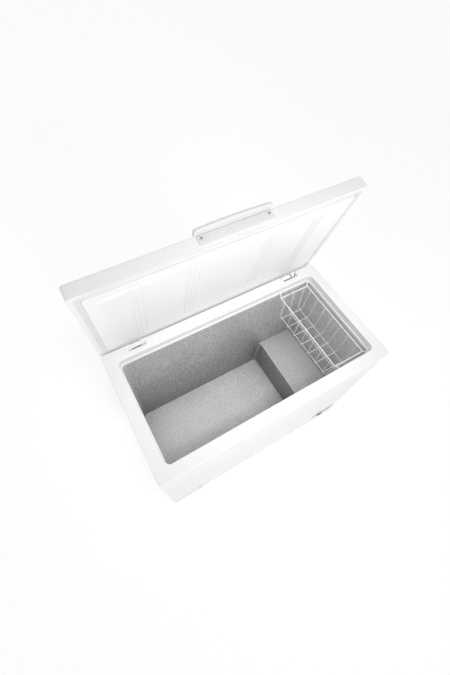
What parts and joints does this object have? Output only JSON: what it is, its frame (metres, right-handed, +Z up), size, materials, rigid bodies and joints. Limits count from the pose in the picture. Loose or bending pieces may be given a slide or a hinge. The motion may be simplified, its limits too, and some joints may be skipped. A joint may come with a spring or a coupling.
{
  "type": "chest freezer",
  "caption": "Chest freezer with a rear-hinged lid standing open, a stepped metal-lined well, a hanging wire basket at one end and a control panel low on the front.",
  "frame": {"origin": "on the floor, under the middle of the cabinet", "axes": "+X is the freezer right, the compressor end; the front faces -Y; +Z is up"},
  "size_m": [1.115, 0.6508, 1.3753],
  "materials": {
    "white_enamel": "smooth gloss white enamel on steel sheet",
    "white_abs": "glossy white moulded plastic",
    "lid_liner_abs": "satin white thermoformed plastic",
    "embossed_aluminium": "stucco embossed aluminium sheet",
    "galvanised_steel": "spangled galvanised steel",
    "zinc_steel": "zinc plated steel",
    "spring_steel": "oiled spring steel",
    "black_enamel": "gloss black enamel on pressed steel",
    "black_plastic": "black moulded plastic",
    "black_rubber": "black moulded rubber",
    "coil_tube": "drawn tube",
    "copper_tube": "drawn copper tube",
    "foam": "closed cell polyurethane foam",
    "white_plastic": "satin white moulded plastic",
    "panel_plastic": "satin near-white moulded plastic",
    "silver_fascia": "silver grey printed plastic plate",
    "lamp_lens": "translucent coloured plastic lens",
    "knob_plastic": "dark grey moulded plastic",
    "rocker_plastic": "glossy orange moulded plastic",
    "gasket_vinyl": "soft light grey extruded vinyl",
    "handle_abs": "satin light grey moulded plastic",
    "coated_wire": "white polyethylene coated steel wire"
  },
  "bodies": {
    "cabinet": {"base_pan": "galvanised_steel", "capillary_tube": "copper_tube", "compressor": "black_enamel", "compressor_motor": "zinc_steel", "compressor_plate": "zinc_steel", "condenser_coil": "coil_tube", "control_panel": "panel_plastic", "cord_inlet": "black_rubber", "discharge_pipe": "copper_tube", "drain_tube": "white_plastic", "evaporator_coil": "coil_tube", "feet": "black_plastic", "filter_drier": "copper_tube", "foam_insulation": "foam", "foot_screws": "zinc_steel", "hinge_bracket_left": "white_enamel", "hinge_bracket_right": "white_enamel", "hinge_pin_left": "zinc_steel", "hinge_pin_right": "zinc_steel", "hinge_pocket_left": "white_plastic", "hinge_pocket_right": "white_plastic", "hinge_screws_left": "zinc_steel", "hinge_screws_right": "zinc_steel", "hinge_spring_left": "spring_steel", "hinge_spring_right": "spring_steel", "indicator_lamps": "lamp_lens", "inner_liner": "embossed_aluminium", "liquid_pipe": "copper_tube", "motor_springs": "spring_steel", "mounting_bolts": "zinc_steel", "outer_cabinet": "white_enamel", "panel_fascia": "silver_fascia", "rear_panel": "galvanised_steel", "rubber_mounts": "black_rubber", "side_grille": "white_plastic", "suction_pipe": "copper_tube", "switch_housing": "black_plastic", "terminal_box": "black_plastic", "terminal_cover": "black_plastic", "thermostat": "black_plastic", "top_frame": "white_abs"},
    "lid": {"lid_skin": "white_enamel", "lid_liner": "lid_liner_abs", "lid_foam": "foam", "lid_gasket": "gasket_vinyl", "lid_handle": "handle_abs", "handle_screws": "zinc_steel", "hinge_arm_left": "white_enamel", "hinge_arm_right": "white_enamel", "hinge_arm_screws_left": "zinc_steel", "hinge_arm_screws_right": "zinc_steel"},
    "basket": {"basket_side_bars": "coated_wire", "basket_end_bars": "coated_wire", "basket_cross_wires": "coated_wire", "basket_long_wires": "coated_wire"},
    "thermostat_knob": {"thermostat_knob": "knob_plastic"},
    "fast_freeze_switch": {"fast_freeze_switch": "rocker_plastic"},
    "drain_plug": {"drain_plug": "white_plastic"},
    "drain_cap": {"drain_cap": "white_plastic"}
  },
  "joints": [
    {"name": "lid_hinge", "type": "hinge", "parent": "cabinet", "child": "lid", "pos_m": [0, 0.2755, 0.7737], "axis": [1, 0, 0], "range_deg": [0, 77.5]},
    {"name": "basket_slide", "type": "slide", "parent": "cabinet", "child": "basket", "axis": [1, 0, 0], "range_m": [-0.79, 0]},
    {"name": "thermostat_turn", "type": "hinge", "parent": "cabinet", "child": "thermostat_knob", "pos_m": [0.406, -0.28, 0.137], "axis": [0, -1, 0], "range_deg": [0, 270]},
    {"name": "fast_freeze_rock", "type": "hinge", "parent": "cabinet", "child": "fast_freeze_switch", "pos_m": [0.441, -0.278, 0.137], "axis": [1, 0, 0], "range_deg": [-8, 8]},
    {"name": "drain_plug_pull", "type": "slide", "parent": "cabinet", "child": "drain_plug", "axis": [0, 0, 1], "range_m": [0, 0.03]},
    {"name": "drain_cap_pull", "type": "slide", "parent": "cabinet", "child": "drain_cap", "axis": [0, -1, 0], "range_m": [0, 0.03]}
  ]
}
